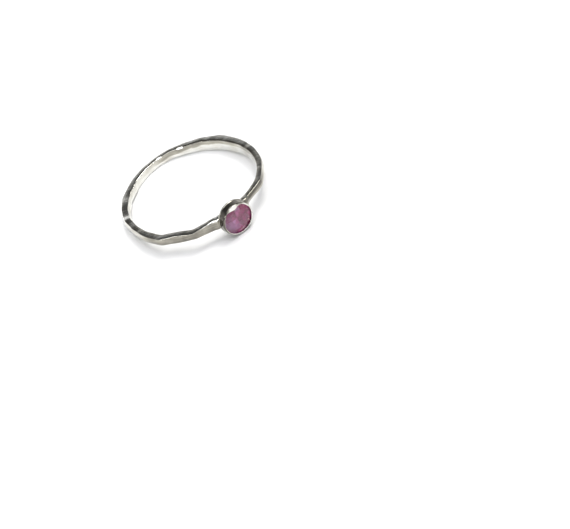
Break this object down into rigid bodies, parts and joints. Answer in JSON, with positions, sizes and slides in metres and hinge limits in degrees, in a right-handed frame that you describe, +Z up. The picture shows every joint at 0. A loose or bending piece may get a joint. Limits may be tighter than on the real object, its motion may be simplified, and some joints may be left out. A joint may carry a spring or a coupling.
{
  "type": "stackable ring",
  "caption": "Slim hammered silver stacking ring with a round faceted pink stone in a plain closed bezel, lying on its side.",
  "frame": {"origin": "centre of the ring's outline on the table, at the height where it touches the table", "axes": "+X from the middle of the finger hole towards the stone's side, +Z up through the finger hole as the ring lies on its side"},
  "size_m": [0.021, 0.0202, 0.0046],
  "materials": {
    "silver": "polished hammered silver with soft kinks, fine scratches and a slightly warm tarnish",
    "pink_stone": "polished facets"
  },
  "bodies": {
    "root": {"silver_ring": "silver", "pink_stone": "pink_stone"}
  },
  "joints": []
}
